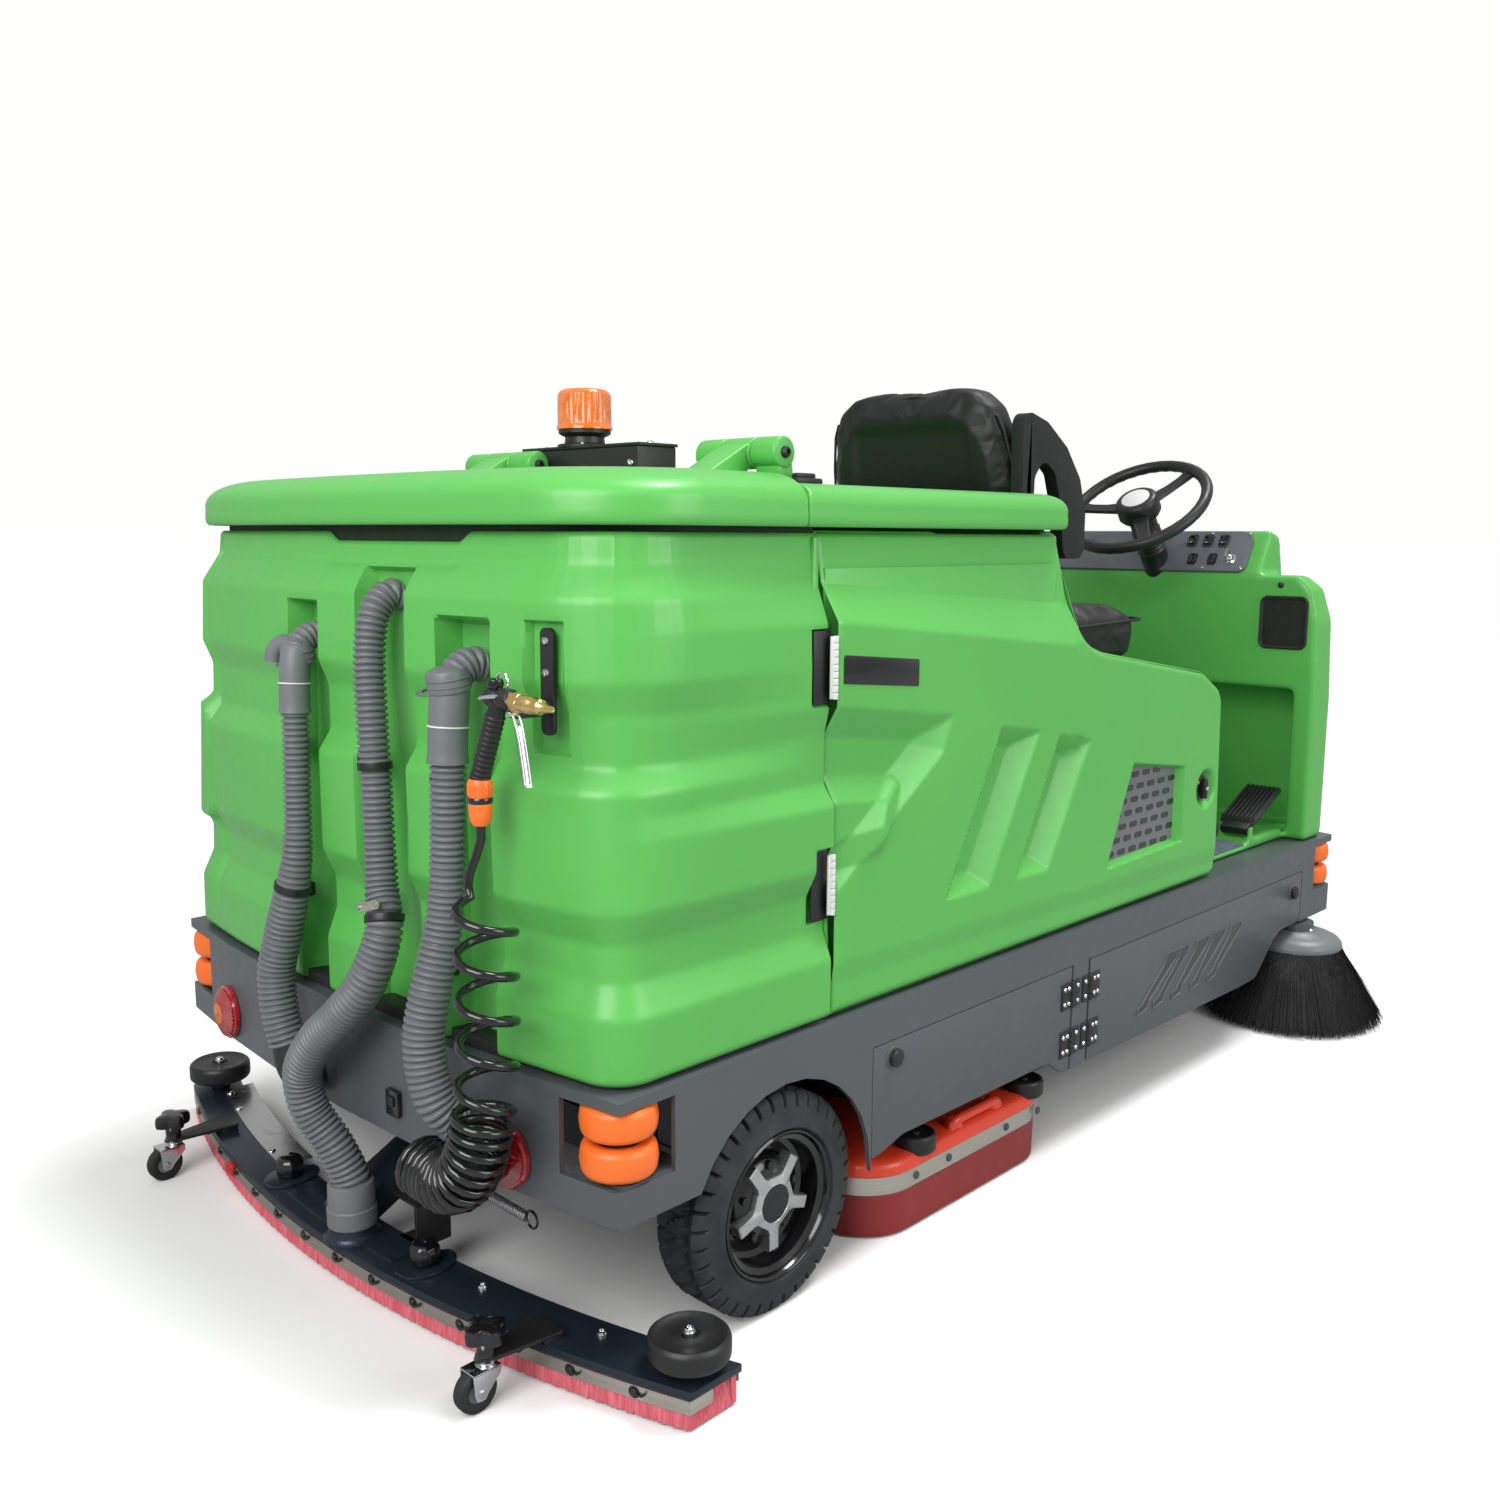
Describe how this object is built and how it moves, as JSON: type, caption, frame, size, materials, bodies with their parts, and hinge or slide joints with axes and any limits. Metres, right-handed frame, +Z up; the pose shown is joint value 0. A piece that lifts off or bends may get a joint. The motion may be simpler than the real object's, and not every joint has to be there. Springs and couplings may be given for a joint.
{
  "type": "ride-on sweeper scrubber",
  "caption": "Ride-on floor sweeper and scrubber: moulded tanks and doors on a steel chassis, side brooms, scrub deck, rear squeegee, hoses and driver's seat.",
  "frame": {"origin": "middle of the machine's box, on the floor", "axes": "+X is the way it drives, +Y its left side, +Z up"},
  "size_m": [2.481, 1.58, 1.395],
  "materials": {
    "green_shell": "satin moulded plastic",
    "slate_steel": "satin powder coat",
    "black_plastic": "matt",
    "black_rubber": "matt rubber",
    "black_vinyl": "grained vinyl",
    "grey_plastic": "matt",
    "grey_hose": "corrugated, matt",
    "orange_rubber": "satin",
    "amber_lens": "clear, ribbed",
    "red_lens": "clear, faceted",
    "red_cover": "satin",
    "pink_skirt": "bristled edge",
    "bright_steel": "polished",
    "dark_plate": "satin",
    "black_bristle": "bristles"
  },
  "bodies": {
    "root": {"chassis_frame": "slate_steel", "recovery_tank": "green_shell", "solution_tank": "green_shell", "seat_base": "green_shell", "battery_pack": "black_plastic", "front_lid": "green_shell", "front_cowl": "green_shell", "dash_panel": "grey_plastic", "beacon_base": "black_plastic", "beacon_lens": "amber_lens", "tail_light_right": "red_lens", "tail_light_left": "red_lens", "drain_hose": "grey_hose", "dirty_water_hose": "grey_hose", "vacuum_hose": "grey_hose", "spray_gun": "black_plastic", "curly_hose": "black_plastic", "gun_hose": "black_plastic", "debris_hopper": "grey_plastic"},
    "rear_wheel_right": {"rear_wheel_right": "black_rubber"},
    "rear_wheel_left": {"rear_wheel_left": "black_rubber"},
    "front_fork": {"front_fork": "slate_steel"},
    "front_wheel": {"front_wheel": "black_rubber"},
    "steering_wheel": {"steering_wheel": "black_plastic"},
    "seat": {"seat_frame": "black_plastic", "seat_cushion": "black_vinyl", "back_cushion": "black_vinyl"},
    "accelerator_pedal": {"accelerator_pedal": "black_plastic"},
    "tank_lid": {"tank_lid": "green_shell"},
    "side_door_right": {"side_door_right": "green_shell"},
    "side_door_left": {"side_door_left": "green_shell"},
    "mid_skirt_door_right": {"mid_skirt_door_right": "slate_steel"},
    "mid_skirt_door_left": {"mid_skirt_door_left": "slate_steel"},
    "front_skirt_door_right": {"front_skirt_door_right": "slate_steel"},
    "front_skirt_door_left": {"front_skirt_door_left": "slate_steel"},
    "side_brush_arm_right": {"side_brush_arm_right": "slate_steel"},
    "side_brush_arm_left": {"side_brush_arm_left": "slate_steel"},
    "side_brush_right": {"side_brush_right": "black_bristle"},
    "side_brush_left": {"side_brush_left": "black_bristle"},
    "main_broom": {"main_broom": "black_bristle"},
    "scrub_deck": {"scrub_deck": "red_cover"},
    "disc_brush_right": {"disc_brush_right": "black_bristle"},
    "disc_brush_left": {"disc_brush_left": "black_bristle"},
    "squeegee": {"squeegee_frame": "dark_plate", "squeegee_blade": "pink_skirt"},
    "squeegee_wheel_right": {"squeegee_wheel_right": "black_plastic"},
    "squeegee_wheel_left": {"squeegee_wheel_left": "black_plastic"},
    "caster_fork_right": {"caster_fork_right": "bright_steel"},
    "caster_fork_left": {"caster_fork_left": "bright_steel"},
    "caster_wheel_right": {"caster_wheel_right": "black_rubber"},
    "caster_wheel_left": {"caster_wheel_left": "black_rubber"},
    "rear_roller_right": {"rear_roller_right": "orange_rubber"},
    "rear_roller_left": {"rear_roller_left": "orange_rubber"},
    "front_roller_right": {"front_roller_right": "orange_rubber"},
    "front_roller_left": {"front_roller_left": "orange_rubber"},
    "gun_trigger": {"gun_trigger": "bright_steel"},
    "ignition_key": {"ignition_key": "bright_steel"},
    "rocker_1": {"rocker_1": "black_plastic"},
    "rocker_2": {"rocker_2": "black_plastic"},
    "rocker_3": {"rocker_3": "black_plastic"}
  },
  "joints": [
    {"name": "rear_wheel_right_spin", "type": "hinge", "parent": "root", "child": "rear_wheel_right", "pos_m": [-0.7695, -0.54, 0.165], "axis": [0, 1, 0], "continuous": true},
    {"name": "rear_wheel_left_spin", "type": "hinge", "parent": "root", "child": "rear_wheel_left", "pos_m": [-0.7695, 0.54, 0.165], "axis": [0, 1, 0], "continuous": true},
    {"name": "front_fork_steer", "type": "hinge", "parent": "root", "child": "front_fork", "pos_m": [0.8505, 0, 0.35], "axis": [0, 0, 1], "range_deg": [-60, 60]},
    {"name": "front_wheel_spin", "type": "hinge", "parent": "front_fork", "child": "front_wheel", "pos_m": [0.8505, 0, 0.13], "axis": [0, 1, 0], "continuous": true},
    {"name": "steering_wheel_turn", "type": "hinge", "parent": "root", "child": "steering_wheel", "pos_m": [0.9405, -0.17, 1.19], "axis": [-0.6157, 0, 0.788], "range_deg": [-165, 165]},
    {"name": "seat_slide", "type": "slide", "parent": "root", "child": "seat", "axis": [1, 0, 0], "range_m": [-0.05, 0.07]},
    {"name": "accelerator_press", "type": "hinge", "parent": "root", "child": "accelerator_pedal", "pos_m": [0.8605, -0.495, 0.458], "axis": [0, 1, 0], "range_deg": [0, 12], "stiffness_Nm_per_rad": 12, "springref_deg": -5.73},
    {"name": "tank_lid_open", "type": "hinge", "parent": "root", "child": "tank_lid", "pos_m": [-0.6845, 0, 1.232], "axis": [0, 1, 0], "range_deg": [0, 80]},
    {"name": "side_door_right_open", "type": "hinge", "parent": "root", "child": "side_door_right", "pos_m": [-0.6665, -0.592, 0.77], "axis": [0, 0, -1], "range_deg": [0, 100]},
    {"name": "mid_skirt_door_right_open", "type": "hinge", "parent": "root", "child": "mid_skirt_door_right", "pos_m": [-0.0095, -0.6, 0.26], "axis": [0, 0, 1], "range_deg": [0, 90]},
    {"name": "front_skirt_door_right_open", "type": "hinge", "parent": "root", "child": "front_skirt_door_right", "pos_m": [0.0525, -0.6, 0.25], "axis": [0, 0, -1], "range_deg": [0, 90]},
    {"name": "side_brush_arm_right_swing", "type": "hinge", "parent": "root", "child": "side_brush_arm_right", "pos_m": [1.1105, -0.33, 0.22], "axis": [0, 0, -1], "range_deg": [0, 20]},
    {"name": "side_brush_right_spin", "type": "hinge", "parent": "side_brush_arm_right", "child": "side_brush_right", "pos_m": [1.0305, -0.58, 0.19], "axis": [0, 0, 1], "continuous": true},
    {"name": "side_door_left_open", "type": "hinge", "parent": "root", "child": "side_door_left", "pos_m": [-0.6665, 0.592, 0.77], "axis": [0, 0, 1], "range_deg": [0, 100]},
    {"name": "mid_skirt_door_left_open", "type": "hinge", "parent": "root", "child": "mid_skirt_door_left", "pos_m": [-0.0095, 0.6, 0.26], "axis": [0, 0, -1], "range_deg": [0, 90]},
    {"name": "front_skirt_door_left_open", "type": "hinge", "parent": "root", "child": "front_skirt_door_left", "pos_m": [0.0525, 0.6, 0.25], "axis": [0, 0, 1], "range_deg": [0, 90]},
    {"name": "side_brush_arm_left_swing", "type": "hinge", "parent": "root", "child": "side_brush_arm_left", "pos_m": [1.1105, 0.33, 0.22], "axis": [0, 0, 1], "range_deg": [0, 20]},
    {"name": "side_brush_left_spin", "type": "hinge", "parent": "side_brush_arm_left", "child": "side_brush_left", "pos_m": [1.0305, 0.58, 0.19], "axis": [0, 0, 1], "continuous": true},
    {"name": "main_broom_spin", "type": "hinge", "parent": "root", "child": "main_broom", "pos_m": [0.4705, 0, 0.14], "axis": [0, 1, 0], "continuous": true},
    {"name": "scrub_deck_lift", "type": "slide", "parent": "root", "child": "scrub_deck", "axis": [0, 0, 1], "range_m": [0, 0.045]},
    {"name": "disc_brush_right_spin", "type": "hinge", "parent": "scrub_deck", "child": "disc_brush_right", "pos_m": [-0.2795, -0.2885, 0.06], "axis": [0, 0, 1], "continuous": true},
    {"name": "disc_brush_left_spin", "type": "hinge", "parent": "scrub_deck", "child": "disc_brush_left", "pos_m": [-0.2795, 0.2885, 0.06], "axis": [0, 0, 1], "continuous": true},
    {"name": "squeegee_lift", "type": "hinge", "parent": "root", "child": "squeegee", "pos_m": [-0.8645, 0, 0.2], "axis": [0, 1, 0], "range_deg": [0, 12], "deforming": ["vacuum_hose"]},
    {"name": "squeegee_wheel_right_spin", "type": "hinge", "parent": "squeegee", "child": "squeegee_wheel_right", "pos_m": [-1.0165, -0.658, 0.085], "axis": [0, 0, 1], "continuous": true},
    {"name": "caster_fork_right_swivel", "type": "hinge", "parent": "squeegee", "child": "caster_fork_right", "pos_m": [-1.1935, -0.464, 0.06], "axis": [0, 0, 1], "continuous": true},
    {"name": "caster_wheel_right_spin", "type": "hinge", "parent": "caster_fork_right", "child": "caster_wheel_right", "pos_m": [-1.2115, -0.464, 0.029], "axis": [0, 1, 0], "continuous": true},
    {"name": "squeegee_wheel_left_spin", "type": "hinge", "parent": "squeegee", "child": "squeegee_wheel_left", "pos_m": [-1.0165, 0.658, 0.085], "axis": [0, 0, 1], "continuous": true},
    {"name": "caster_fork_left_swivel", "type": "hinge", "parent": "squeegee", "child": "caster_fork_left", "pos_m": [-1.1935, 0.464, 0.06], "axis": [0, 0, 1], "continuous": true},
    {"name": "caster_wheel_left_spin", "type": "hinge", "parent": "caster_fork_left", "child": "caster_wheel_left", "pos_m": [-1.2115, 0.464, 0.029], "axis": [0, 1, 0], "continuous": true},
    {"name": "rear_roller_right_spin", "type": "hinge", "parent": "root", "child": "rear_roller_right", "pos_m": [-1.04258, -0.554, 0.35], "axis": [0, 0, 1], "continuous": true},
    {"name": "front_roller_right_spin", "type": "hinge", "parent": "root", "child": "front_roller_right", "pos_m": [1.12482, -0.554, 0.35], "axis": [0, 0, 1], "continuous": true},
    {"name": "rear_roller_left_spin", "type": "hinge", "parent": "root", "child": "rear_roller_left", "pos_m": [-1.04258, 0.554, 0.35], "axis": [0, 0, 1], "continuous": true},
    {"name": "front_roller_left_spin", "type": "hinge", "parent": "root", "child": "front_roller_left", "pos_m": [1.12482, 0.554, 0.35], "axis": [0, 0, 1], "continuous": true},
    {"name": "gun_trigger_pull", "type": "hinge", "parent": "root", "child": "gun_trigger", "pos_m": [-1.1475, -0.488, 0.9015], "axis": [1, 0, 0], "range_deg": [0, 10], "stiffness_Nm_per_rad": 0.6, "springref_deg": -5.73},
    {"name": "ignition_key_turn", "type": "hinge", "parent": "root", "child": "ignition_key", "pos_m": [1.04786, -0.365, 1.06039], "axis": [-0.8682, 0, 0.4961], "range_deg": [0, 90]},
    {"name": "rocker_1_press", "type": "hinge", "parent": "root", "child": "rocker_1", "pos_m": [1.06225, -0.255, 1.10975], "axis": [0, 1, 0], "range_deg": [0, 10]},
    {"name": "rocker_2_press", "type": "hinge", "parent": "root", "child": "rocker_2", "pos_m": [1.06225, -0.295, 1.10975], "axis": [0, 1, 0], "range_deg": [0, 10]},
    {"name": "rocker_3_press", "type": "hinge", "parent": "root", "child": "rocker_3", "pos_m": [1.06225, -0.335, 1.10975], "axis": [0, 1, 0], "range_deg": [0, 10]}
  ],
  "couplings": [
    {"joint": "steering_wheel_turn", "follows": "front_fork_steer", "ratio": 2.75}
  ]
}
